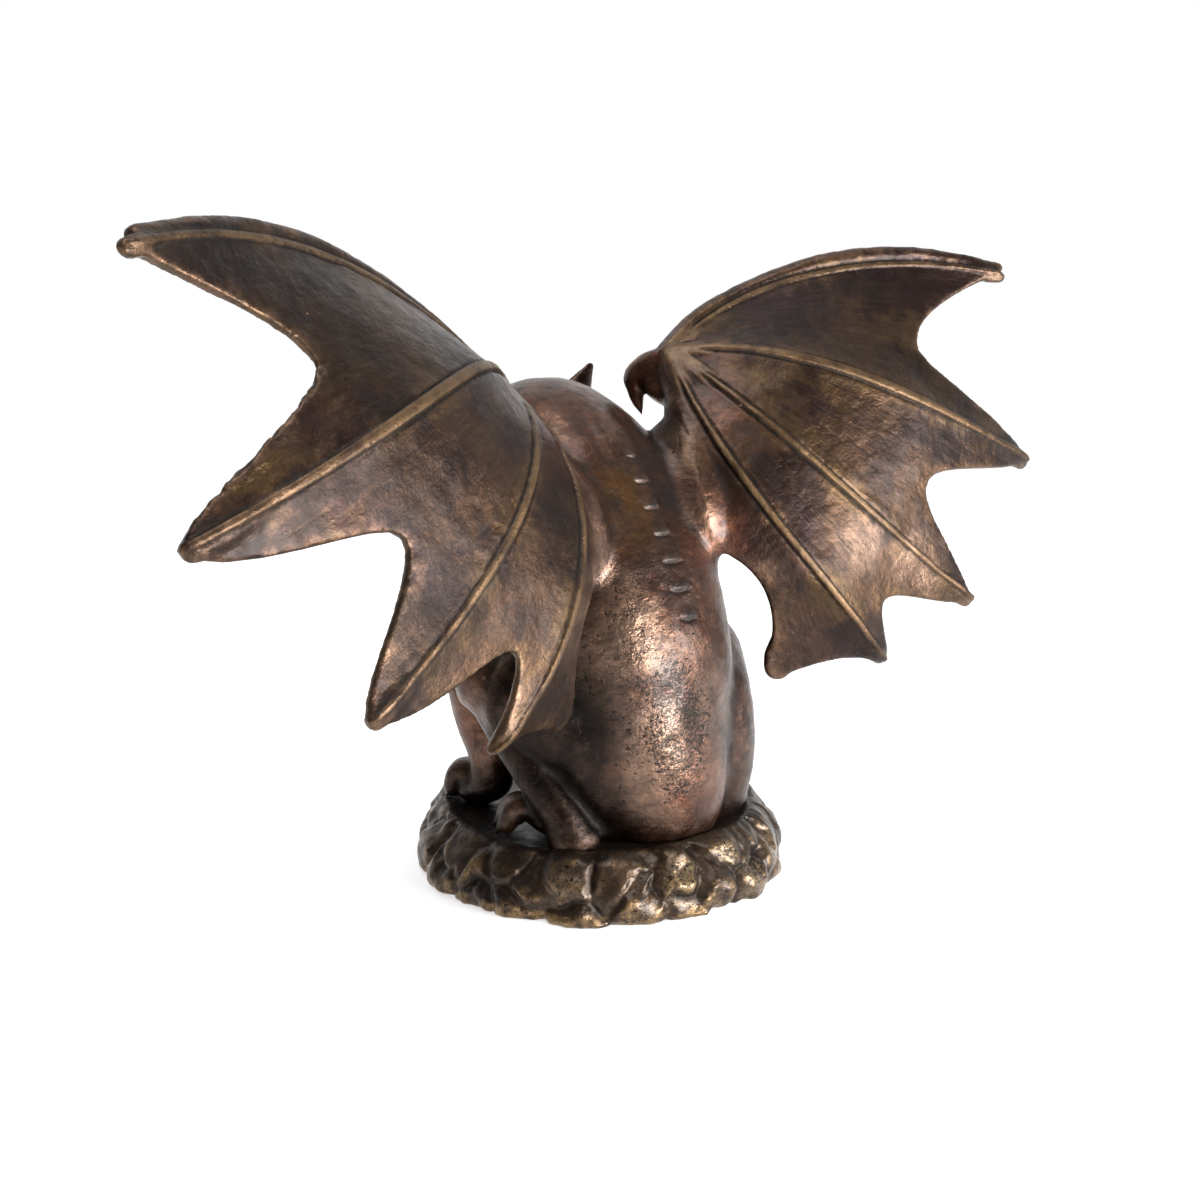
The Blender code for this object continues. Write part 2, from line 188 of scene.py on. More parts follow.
def finger_curve(side, finger, t):
    """Points at t on a finger's cubic curve, which starts at the wrist."""
    p = [np.array(q, float) for q in (WRIST, *FINGERS[finger])]
    p[0][2] -= WRIST_DROP[side]
    p[1][2] += WRIST_DROP[side] / 3
    t = np.asarray(t)[..., None]
    return (1 - t) ** 3 * p[0] + 3 * (1 - t) ** 2 * t * p[1] + 3 * (1 - t) * t**2 * p[2] + t**3 * p[3]


def mirrored(points, side):
    p = np.array(points, float)
    p[..., 0] *= side
    return p


def add_rings(bm, rings, start, end):
    """A closed skin over rings of equal count, with a pole at each end."""
    verts = [[bm.verts.new(p) for p in ring] for ring in rings]
    count = len(verts[0])
    for low, high in zip(verts, verts[1:]):
        for i in range(count):
            j = (i + 1) % count
            bm.faces.new((low[i], low[j], high[j], high[i]))
    for ring, pole in ((verts[0], start), (verts[-1], end)):
        tip = bm.verts.new(pole)
        for i in range(count):
            bm.faces.new((ring[i], ring[(i + 1) % count], tip))


def add_tube(bm, knots, sides=24, flat=1, up=(0, 0, 1), per_span=10):
    """A round-ended limb through knots of (x, y, z, radius). flat squeezes it along up."""
    path = smooth_path(knots, per_span)
    centres, radii = path[:, :3], np.maximum(path[:, 3], 0.4)
    tangents = unit(np.gradient(centres, axis=0))
    caps = [math.radians(a) for a in (80, 60, 35)]
    back, ahead = -tangents[0] * radii[0], tangents[-1] * radii[-1]
    stations = [(centres[0] + back * math.sin(a), tangents[0], radii[0] * math.cos(a)) for a in caps]
    stations += list(zip(centres, tangents, radii))
    caps.reverse()
    stations += [(centres[-1] + ahead * math.sin(a), tangents[-1], radii[-1] * math.cos(a)) for a in caps]
    across = np.cross(tangents[0], up)
    if np.linalg.norm(across) < 0.2:
        across = np.array([1, 0, 0])
    rings = []
    for centre, tangent, radius in stations:
        across = across - tangent * across.dot(tangent)
        across = across / np.linalg.norm(across)
        over = np.cross(across, tangent)
        rings.append([])
        for a in turns_of(sides):
            rings[-1].append(centre + radius * (math.cos(a) * across + flat * math.sin(a) * over))
    add_rings(bm, rings, centres[0] + back, centres[-1] + ahead)


def add_ball(bm, centre, radii, sides=36):
    """An ellipsoid with its axes along X, Y and Z."""
    c, r = np.array(centre, float), np.array(radii, float)
    rings = []
    for lift in np.radians(np.linspace(-85, 85, 21)):
        level, height = math.cos(lift), math.sin(lift)
        rings.append([c + r * (level * math.cos(a), level * math.sin(a), height) for a in turns_of(sides)])
    add_rings(bm, rings, c - r * (0, 0, 1), c + r * (0, 0, 1))


# Torso sections from the seat to the nape: centre y and z, lean of the section in degrees
# from level, half width, half depth to the back, half depth to the belly, squareness.
TORSO = (
    (20, 30, 0, 46, 62, 40, 2),
    (18, 45, 0, 54, 68, 42, 2),
    (18, 70, 0, 62, 69, 44, 2),
    (16, 100, 4, 66, 67, 46, 2.1),
    (12, 132, 10, 65, 65, 48, 2.3),
    (4, 162, 20, 63, 59, 52, 2.6),
    (-7, 188, 32, 60, 54, 55, 2.6),
    (-20, 210, 44, 58, 54, 52, 2.4),
    (-38, 228, 58, 55, 52.5, 48, 2.2),
    (-60, 238, 74, 49, 50.5, 42, 2.1),
    (-82, 240, 86, 41, 43, 36, 2),
    (-98, 240, 90, 34, 35, 30, 2),
)


def add_torso(bm):
    """The trunk as one skin over leaning sections, from the seat over the hump to the neck."""
    rings, middles = [], []
    for y, z, lean, wide, back, front, square in smooth_path(TORSO, 6):
        lean = math.radians(lean)
        outward = np.array([0, math.cos(lean), math.sin(lean)])
        centre = np.array([0, y, z])
        ring = []
        for a in turns_of(72):
            c, s = math.cos(a), math.sin(a)
            x = wide * math.copysign(abs(c) ** (2 / square), c)
            depth = (back if s > 0 else front) * math.copysign(abs(s) ** (2 / square), s)
            ring.append(centre + (x, 0, 0) + depth * outward)
        rings.append(ring)
        middles.append(centre)
    add_rings(bm, rings, middles[0] - (0, 0, 4), middles[-1] + (0, -6, 0))


HAUNCH = {  # fuller on the right
    1: (
        (32, 42, 50, 24), (34, 40, 66, 28), (38, 34, 84, 30),
        (54, 14, 104, 33), (66, 0, 114, 31), (72, -8, 118, 24),
    ),
    -1: (
        (42, 46, 42, 26), (43, 46, 62, 29), (45, 44, 84, 30),
        (50, 32, 104, 31), (60, 10, 116, 34), (70, -6, 118, 29),
    ),
}


def add_limbs(bm, side):
    """Hind leg, foreleg, their paws, and the muscles of the back on one side."""

    def limb(knots, **how):
        add_tube(bm, mirrored(knots, side), **how)

    # Hind leg: the haunch, then the shin, heel and foot
    limb(HAUNCH[side])
    limb(((75, -10, 119, 17), (76, 6, 97, 13.5), (70, 25, 71, 11.5), (63, 41, 50, 12.5), (59, 47, 35, 15)))
    limb(((56, 51, 38, 11), (60, 38, 41, 10), (65, 27, 44, 9.5)), flat=0.85)
    limb(((84, 10, 100, 4.5), (90, 12, 103, 2.8), (92, 13, 108, 0.8)))
    for turn, reach in ((-17, 20), (2, 24), (22, 21)):
        add_toe(bm, side, (65, 27, 43), 29 + turn, reach)

    # Foreleg
    limb(((44, -36, 205, 28), (54, -46, 178, 25), (58, -49, 148, 21.5), (59, -49, 116, 18.5)))
    limb(((59, -49, 118, 18), (58, -43, 90, 16.5), (56, -36, 68, 14), (56, -35, 52, 13)))
    limb(((56, -35, 47, 13), (58, -42, 43, 12), (60, -47, 41, 10)), flat=0.85)
    for turn, reach in ((-20, 15), (0, 17), (20, 15)):
        add_toe(bm, side, (60, -46, 41), 14 + turn, reach)

    # Shoulder, flank, breast and the muscle at the root of the wing
    add_ball(bm, (side * 42, -34, 206), (27, 30, 34))
    add_ball(bm, (side * 17, -47, 184), (28, 22, 32))
    drop = WRIST_DROP[side]
    elbow = ((50, 20, 238 - 0.3 * drop, 16), (59, 5, 270 - 0.7 * drop, 12), (63, -12, 295 - drop, 9))
    limb(((40, 30, 170, 5), (45, 39, 188, 11), (46, 34, 210, 16), *elbow))
    root = ((40, 14, 228 - 0.2 * drop, 18), (48, 4, 250 - 0.5 * drop, 13))
    limb(((30, 26, 180, 12), (34, 26, 206, 17), *root))


def add_toe(bm, side, root, outward, reach):
    """An arched toe and its claw. outward is its heading in degrees away from straight ahead."""
    heading = np.array([math.sin(math.radians(outward)), -math.cos(math.radians(outward)), 0])
    root = np.array(root, float)

    def at(share, z, radius):
        x, y, _ = root + heading * reach * share
        return (side * x, y, z, radius)

    toe = (at(0, 45, 9), at(0.4, 51, 8.4), at(0.76, 48.5, 7.4), at(0.98, 41, 6))
    claw = (at(0.96, 42, 4.2), at(1.16, 39, 2.9), at(1.3, 34.6, 1))
    add_tube(bm, toe)
    add_tube(bm, claw)


def add_head(bm):
    """A blunt muzzle, heavy brow, cheeks, fangs and pointed ears."""
    add_ball(bm, (0, -104, 243), (38, 42, 37))
    add_ball(bm, (0, -132, 230), (25, 27, 18))
    add_tube(bm, ((0, -106, 216, 19), (0, -124, 211, 17), (0, -142, 212, 12)), flat=0.75)
    add_ball(bm, (0, -155, 236), (11, 8, 7))
    half = ((32, -119, 254, 8), (15, -137, 254, 8))
    brow = [(-x, y, z, r) for x, y, z, r in half] + [(0, -137, 248, 7.5)] + list(reversed(half))
    add_tube(bm, brow)
    for side in SIDES:
        add_ball(bm, (side * 25, -114, 224), (15, 19, 17))
        add_ball(bm, (side * 15.5, -139, 243.5), (6, 6, 5.5))
        fang = ((11, -151, 218, 3.4), (11.5, -154, 225, 2.8), (11.5, -155, 231, 1))
        add_tube(bm, mirrored(fang, side), per_span=4)
        ear = ((40, -96, 255, 15), (50, -94, 267, 13), (58, -92, 279, 9), (64, -90, 290, 4))
        add_tube(bm, mirrored(ear, side), flat=0.45, up=(0.25 * side, 1, 0.2))


def scallop(place, rise, fall, f):
    """0 at both fingertips and 1 at the deepest place of the scallop between them."""
    before = np.sin(math.pi / 2 * np.clip(f / place, 0, 1)) ** rise
    after = np.sin(math.pi / 2 * np.clip((1 - f) / (1 - place), 0, 1)) ** fall
    return np.where(f < place, before, after)


def trailing_edge(side, s):
    """Points at shares s of the length of the arm and the free edge."""
    knots = np.array(TRAILING_EDGE)
    knots[:4, 2] -= WRIST_DROP[side] * np.array([1, 0.7, 0.4, 0.1])
    path = smooth_path(knots, 24)
    steps = np.linalg.norm(np.diff(path, axis=0), axis=1)
    along = np.concatenate([[0], np.cumsum(steps)]) / steps.sum()
    return np.stack([np.interp(s, along, path[:, i]) for i in range(3)], -1)


def web_reach(side, web, f):
    """How far out the web goes at f between two fingers, as a share of their length."""
    cut = scallop(SCALLOP_PLACE[side][web], SCALLOP_RISE[side][web], SCALLOP_FALL[side][web], f)
    return 1 - SCALLOP_DEPTH[side][web] * cut + TIP_OVERHANG[side] * (1 - cut) ** 2


def web_points(side, web, f, s):
    """The middle of the web between two fingers, at shares f across and s out."""
    near = finger_curve(side, web, s)
    far = trailing_edge(side, s) if web == 3 else finger_curve(side, web + 1, s)
    f = np.asarray(f)[..., None]
    return (1 - f) * near + f * far


def web_grid(side):
    """Rows run out from the wrist, columns go from finger to finger."""
    rows = np.linspace(0.03, 1, WEB_ROWS)
    columns = []
    for web in range(4):
        for f in np.linspace(0, 1, WEB_STEPS + 1)[: WEB_STEPS + (web == 3)]:
            columns.append(web_points(side, web, np.full(WEB_ROWS, f), rows * web_reach(side, web, f)))
    return np.array(columns)


THUMB = (
    (64, -13, 297, 9), (58, -24, 292, 10.5), (53, -31, 286, 9),
    (52, -31, 279, 5.6), (51.5, -28, 271, 3.8), (50, -22, 262.5, 1.3),
)
WRIST_KNOB = ((66, -12, 292, 11), (60, -18, 284, 11), (64, -4, 275, 9.5))
CORNER_CURL = (
    (80, 67, 138, 2.4), (77.5, 65, 129, 3.2), (77, 63.5, 120, 3.8),
    (80.5, 63.5, 112.5, 3.8), (89, 66, 110, 2.8),
)


def add_wing(bm, side):
    """One wing: web, fingertip pads, leading bar, wrist, thumb claw and curled trailing corner."""
    grid = web_grid(side)
    normal = unit(np.cross(np.gradient(grid, axis=1), np.gradient(grid, axis=0)), 1e-9)
    half = WEB_THICKNESS / 2 * normal
    skins = []
    for offset in (half, -half):
        skins.append([[bm.verts.new(p) for p in column] for column in mirrored(grid + offset, side)])
    top, under = skins
    last_column, last_row = len(grid) - 1, WEB_ROWS - 1
    for i in range(last_column):
        for j in range(last_row):
            bm.faces.new((top[i][j], top[i + 1][j], top[i + 1][j + 1], top[i][j + 1]))
            bm.faces.new((under[i][j], under[i][j + 1], under[i + 1][j + 1], under[i + 1][j]))
        for j in (0, last_row):
            bm.faces.new((top[i][j], under[i][j], under[i + 1][j], top[i + 1][j]))
    for j in range(last_row):
        for i in (0, last_column):
            bm.faces.new((top[i][j], top[i][j + 1], under[i][j + 1], under[i][j]))

    t = np.array([0.86, 0.92, 0.955, TIP_PAD_END[side]])
    for finger in range(len(FINGERS)):
        radii = np.array(TIP_PAD) * (0.75 if finger == 0 else 1)
        pad = np.column_stack([web_points(side, finger, np.full(len(t), 0.022), t), radii])
        upright = RIBS[side].normals[(finger + 1) * RIB_STATIONS - RIB_STATIONS // 12]
        add_tube(bm, mirrored(pad, side), flat=0.62, up=upright, per_span=6)
    t = np.linspace(0, LEADING_BAR_END[side], 9)
    steps = np.linspace(0, 1, len(LEADING_BAR))
    bar = finger_curve(side, 0, t)
    bar[:, 1] -= LEADING_BAR_FORWARD
    bar[:, 2] += np.interp(t, steps, LEADING_BAR_LIFT[side])
    bar = np.column_stack([bar, np.interp(t, steps, LEADING_BAR)])
    add_tube(bm, mirrored(bar, side), per_span=6)

    for knots in (THUMB, WRIST_KNOB):
        knots = mirrored(knots, side)
        knots[:, 2] -= WRIST_DROP[side]
        add_tube(bm, knots)
    add_tube(bm, mirrored(CORNER_CURL, side))


# ---- carving ----


def tree_of(places):
    tree = kdtree.KDTree(len(places))
    for i, place in enumerate(places):
        tree.insert(place, i)
    tree.balance()
    return tree


class WingMap:
    """Finds where points lie on one wing: which web, how far across it, and how far out."""

    def __init__(self, side):
        self.side = side
        places, across, out, marks = [], [], [], []
        f, s = np.meshgrid(np.linspace(0, 1, 33), np.linspace(0.02, 1.06, 150), indexing="ij")
        f, s = f.ravel(), s.ravel()
        step = 0.002
        for web in range(4):
            here = web_points(side, web, f, s)
            places.append(here)
            across.append((web_points(side, web, f + step, s) - here) / step)
            out.append((web_points(side, web, f, s + step) - here) / step)
            marks.append(np.column_stack([np.full(len(s), web), f, s]))
        self.places, self.across, self.out = (mirrored(np.vstack(v), side) for v in (places, across, out))
        self.marks = np.vstack(marks)
        self.normals = unit(np.cross(self.out, self.across) * side, 1e-9)
        self.tree = tree_of(self.places)

    def find(self, points):
        """Over the points: web, f, s, length, height above the middle, normal, gap and edge."""
        near = np.array([self.tree.find(p)[1] for p in points])
        offset = points - self.places[near]
        a, b = self.across[near], self.out[near]
        aa, ab, bb = (a * a).sum(1), (a * b).sum(1), (b * b).sum(1)
        ra, rb = (offset * a).sum(1), (offset * b).sum(1)
        det = aa * bb - ab * ab + 1e-6
        df = (ra * bb - rb * ab) / det
        ds = (rb * aa - ra * ab) / det
        limit = 0.05
        web, f, s = self.marks[near].T
        normals = self.normals[near]
        height = (offset * normals).sum(1)
        beyond = offset - height[:, None] * normals
        found = {
            "web": web.astype(int),
            "f": f + np.clip(df, -limit, limit),
            "s": s + np.clip(ds, -limit, limit),
            "length": np.sqrt(bb),
            "height": height,
            "normal": normals,
            "gap": np.linalg.norm(beyond, axis=1),
        }
        reach = np.zeros(len(points))
        for k in range(4):
            own = found["web"] == k
            reach[own] = web_reach(self.side, k, np.clip(found["f"][own], 0, 1))
        found["edge"] = (reach - found["s"]) * found["length"]
        return found


class RibMap:
    """Finds the nearest finger of one wing, and how far to the side of it points lie."""

    def __init__(self, side):
        places, tangents, normals, marks = [], [], [], []
        s = np.linspace(0, 1, RIB_STATIONS)
        for finger in range(len(FINGERS)):
            curve = finger_curve(side, finger, s)
            tangent = unit(np.gradient(curve, axis=0))
            after = web_points(side, finger, np.full(len(s), 0.08), s) - curve
            before = after
            if finger > 0:
                before = curve - web_points(side, finger - 1, np.full(len(s), 0.92), s)
            across = unit(after, 1e-6)
            if finger == 3:  # the last web is folded against the arm at its start
                across = across * ramp(s, 0.3, 0.5)[:, None]
            normal = np.cross(tangent, across + unit(before, 1e-6))
            normal[0] = normal[1]
            places.append(mirrored(curve, side))
            tangents.append(mirrored(tangent, side))
            normals.append(mirrored(unit(normal), side))
            marks.append(np.column_stack([np.full(len(s), finger), s]))
        self.places, self.marks = np.vstack(places), np.vstack(marks)
        self.normals = np.vstack(normals)
        self.sideways = np.cross(self.normals, np.vstack(tangents)) * side
        self.tree = tree_of(self.places)

    def find(self, points):
        """Over the points: finger, t along it, signed distance to the side, half width of the
        strap there, the rib's own normal, and away, the distance to its middle line."""
        near = np.array([self.tree.find(p)[1] for p in points])
        finger, t = self.marks[near].T
        offset = points - self.places[near]
        half = np.interp(t, np.linspace(0, 1, len(RIB_WIDTH)), RIB_WIDTH)
        return {
            "finger": finger,
            "t": t,
            "signed": (offset * self.sideways[near]).sum(1) - np.where(finger == 0, LEADING_STRAP_SHIFT, 0),
            "half": half * np.take(RIB_SHARE, finger.astype(int)),
            "upright": self.normals[near],
            "away": np.linalg.norm(offset, axis=1),
        }


def read(items, name, width, kind):
    values = np.empty(len(items) * width, kind)
    items.foreach_get(name, values)
    return values.reshape(-1, width)


def mesh_arrays(mesh):
    """Vertices in mm, normals and edges as arrays."""
    points = read(mesh.vertices, "co", 3, np.float32).astype(float) / MM
    normals = read(mesh.vertex_normals, "vector", 3, np.float32).astype(float)
    return points, normals, read(mesh.edges, "vertices", 2, np.int32)


def store(mesh, points):
    mesh.vertices.foreach_set("co", (points * MM).astype(np.float32).ravel())
    mesh.update()


def spread(values, edges, count):
    """Mean of each vertex's neighbours."""
    total = np.bincount(edges[:, 0], weights=values[edges[:, 1]], minlength=count)
    total += np.bincount(edges[:, 1], weights=values[edges[:, 0]], minlength=count)
    degree = np.bincount(edges.ravel(), minlength=count)
    return total / np.maximum(degree, 1)


def relax(points, edges, weight, steps):
    """Laplacian smoothing, each vertex moving by its own weight."""
    count = len(points)
    p = points.copy()
    for _ in range(steps):
        for axis in range(3):
            p[:, axis] += weight * (spread(p[:, axis], edges, count) - p[:, axis])
    return p


def spine_frame(points):
    """Distance along the spine from the rump, and distance from it as seen from the side."""
    line = smooth_path(SPINE, 8)
    lengths = np.linalg.norm(np.diff(line, axis=0), axis=1)
    steps = np.concatenate([[0], np.cumsum(lengths)])
    best = np.full(len(points), 1e9)
    nearest = np.zeros(len(points), int)
    for i, place in enumerate(line):
        d = distance_from(points[:, 1:], place, (1, 1))
        nearest[d < best] = i
        best = np.minimum(best, d)
    past = (points[:, 1:] - line[nearest]) * unit(np.gradient(line, axis=0))[nearest]
    return steps[nearest] + past.sum(axis=1), best


def scale_row(points, along):
    """For each spine scale: its outline over the points, distance up from its lower lip, and size."""
    for k in range(SCALES):
        size = (1 - 0.05 * abs(k - 1)) * (1 - 0.35 * ramp(k, 4.5, 7.5))
        outline = np.clip(1 - ((points[:, 0] - SCALES_SIDE) / (8.2 * size)) ** 2, 0, 1) ** 0.7
        yield outline, along - (104 + 16.7 * k) - 1.5 * (1 - outline), size


def crease_distance(points):
    """Distance to the crease between shin and rump of the nearer leg."""
    p = np.column_stack([np.abs(points[:, 0]), points[:, 1:]])
    return np.min([distance_from(p, q) for q in smooth_path(LEG_CREASE, 8)], axis=0)


def wing_finds(points):
    """For each side the indices of the points near that wing, and where they lie on it."""
    finds = []
    for side in SIDES:
        near = np.flatnonzero((points[:, 0] * side > 40) & (points[:, 2] > 100))
        found = {**WINGS[side].find(points[near]), **RIBS[side].find(points[near])}
        on_web = (found["gap"] < 7) & (np.abs(found["height"]) < 11)
        close = on_web | (found["away"] < 9)
        finds.append((side, near[close], {k: v[close] for k, v in found.items()}))
    return finds


def strap_shape(found, normals):
    """Where the raised straps and the grooves beside them lie, and how far the skin faces back."""
    distance, half = np.abs(found["signed"]), found["half"]
    by_web = (normals * found["normal"]).sum(1)
    by_rib = (normals * found["upright"]).sum(1)
    facing = by_web + (by_rib - by_web) * (1 - ramp(distance, 4, 8))
    root = 1 - ramp(found["t"], 0.07, 0.14)
    strap = 1 - ramp(distance, half - 0.4, half + 0.5)
    strap = np.maximum(strap, root * (1 - ramp(distance, 4, 7)))
    groove = bump(distance - half - GROOVE_WIDTH, GROOVE_WIDTH) * (1 - root)
    groove = groove * (1 - 0.8 * ramp(found["t"], 0.5, 0.85))
    return strap, groove * np.where(found["finger"] == 0, 0.4, 1), distance, facing


def carve(points, normals):
    """Moves the vertices along their normals for the finer forms. Returns the new points."""
    x, y, z = points.T
    ax = np.abs(x)
    lift = np.zeros(len(points))

    # wings
    web_mask = np.zeros(len(points))
    for side, own, found in wing_finds(points):
        p = points[own]
        strap, groove, distance, facing = strap_shape(found, normals[own])
        back = ramp(facing, 0.1, 0.7)
        front = ramp(-facing, 0.1, 0.7)
        inside = ramp(found["edge"], -1, 4)
        depth = RIB_HEIGHT * strap - GROOVE_DEPTH * groove + 0.8 * bump(distance, 7)
        wave = rough_noise(p, 26, 5) * 0.75 + rough_noise(p, 12, 7) * 0.3 + rough_noise(p, 5.5, 6) * 0.22
        move = (back + 0.5 * front) * depth * (0.35 + 0.65 * inside)
        move += wave * (back + front) * (1 - strap)
        if side > 0:
            torn = (found["web"] == 0) * ramp(found["f"], 0.5, 0.7) * (1 - ramp(found["f"], 0.9, 0.99))
            near_edge = 1 - ramp(found["edge"], 1, 9)
            chips = rough_noise(p, 5.5, 11) * 1.6 - 0.5
            move += torn * near_edge * chips
        lift[own] += move
        on_web = ramp(found["s"], 0.2, 0.45) * (1 - ramp(found["gap"], 2, 7))
        web_mask[own] = np.maximum(web_mask[own], on_web)

    # spine scales
    along, off = spine_frame(points)
    on_back = (1 - ramp(off, 6, 14)) * (y > -60) * ramp(ax, 60, 30)
    for shape, d, size in scale_row(points, along):
        body = np.where(d < 0, bump(d, 0.9), bump(d, 3.4))
        lift += on_back * (size * shape * body)
        lift -= on_back * 0.8 * size * shape * bump(d + 2, 1.2)
    ridge = bump(x, 8) * ramp(along, 95, 140) * (1 - ramp(along, 250, 280))
    furrow = bump(ax - 16, 6) * ramp(along, 130, 175) * (1 - ramp(along, 240, 275))
    lift += on_back * (0.5 * ridge - 0.7 * furrow)

    # muscles of the back, rump and haunch
    body = 1 - web_mask
    lift -= 2.2 * bump(crease_distance(points), 5)
    lift += body * (rough_noise(points, 30, 21) * 0.9 + rough_noise(points, 9, 22) * 0.35)
    lift += body * rough_noise(points, 3.2, 23) * 0.12

    # face
    head = (y < -95) & (z > 195)
    d_mouth = z - (221 + 0.25 * ax)
    lift -= head * (y < -118) * 1.8 * bump(d_mouth, 1.6) * (1 - ramp(ax, 24, 30))
    for side in SIDES:
        eye = distance_from(points, (side * 15.5, -144, 243.5))
        lift -= 1.6 * bump(eye - 7.2, 1.8) + 0.9 * bump(z - 243 + 0.08 * (ax - 15.5) ** 2, 0.9) * (eye < 5.5)
        nostril = distance_from(points, (side * 5.5, -161, 237))
        lift -= 2.2 * bump(nostril, 2.6)
        inner = distance_from(points, (side * 53, -103, 275), (1, 1, 1.7))
        lift -= 3 * bump(inner, 6.5) * (normals[:, 1] < 0)
    moved = points + normals * lift[:, None]
    moved[:, 2] = np.maximum(moved[:, 2], LEDGE + 0.1)
    return moved


# Patches on the figure: middle, radius, how far it reaches up and down compared with
# sideways, and strength. The dark patches are dark patina with painted shade, the gold
# patches are patina, and the highlight patches are painted highlights.
DARK_PATCHES = (
    (58, 50, 40, 22, 1, 0.6), (72, 42, 92, 60, 1.1, 1), (13, 86, 44, 34, 0.7, 0.4),
    (66, 48, 84, 34, 1, 1), (56, 54, 62, 24, 1, 1), (80, 28, 84, 36, 1, 1),
    (-66, 60, 170, 22, 1.5, 0.3), (203, 45, 317, 46, 1, 0.6), (262, 44, 348, 60, 1, 0.5),
    (180, 84, 250, 36, 1, 0.6), (162, 92, 197, 26, 1, 0.55), (188, 97, 180, 36, 1, 0.75),
    (-175, 78, 258, 34, 1, 0.4), (-223, 86, 258, 34, 1, 0.4), (-88, 80, 156, 26, 1, 0.3),
)
GOLD_PATCHES = (
    (261, 84, 255, 46, 1, 1), (-110, 52, 272, 42, 1, 1), (-84, 28, 286, 26, 1, 1),
    (-215, 36, 332, 50, 1, 0.9), (128, 92, 140, 24, 1, 0.6),
)
HIGHLIGHT_PATCHES = (
    (46, 51, 196, 20, 1.4, 1), (40, 63, 152, 34, 1.4, 0.95), (30, 78, 88, 30, 1.8, 0.95),
    (-14, 84, 108, 26, 2, 0.4), (-128, 88, 192, 22, 1, 0.6), (-174, 97, 178, 28, 1, 0.8),
    (138, 92, 140, 20, 1, 0.5), (-34, 44, 214, 14, 1.6, 0.4),
)
ROCK_PATCHES = (  # the boulders with the brightest painted highlight
    (28, 104, 20, 15, 1, 0.9), (-24, 104, 14, 15, 1, 1), (-8, 99, 30, 12, 1, 0.8),
    (-50, 92, 20, 16, 1, 0.9), (84, 66, 22, 16, 1, 0.4),
)


def patches(points, places):
    """A mask of soft-edged patches."""
    mask = np.zeros(len(points))
    waver = 0.25 * noise(points, 14, 71)
    for x, y, z, size, tall, strength in places:
        d = distance_from(points, (x, y, z), (1, 1, tall)) + size * waver
        mask = np.maximum(mask, strength * (1 - ramp(d, 0.35 * size, size)))
    return mask


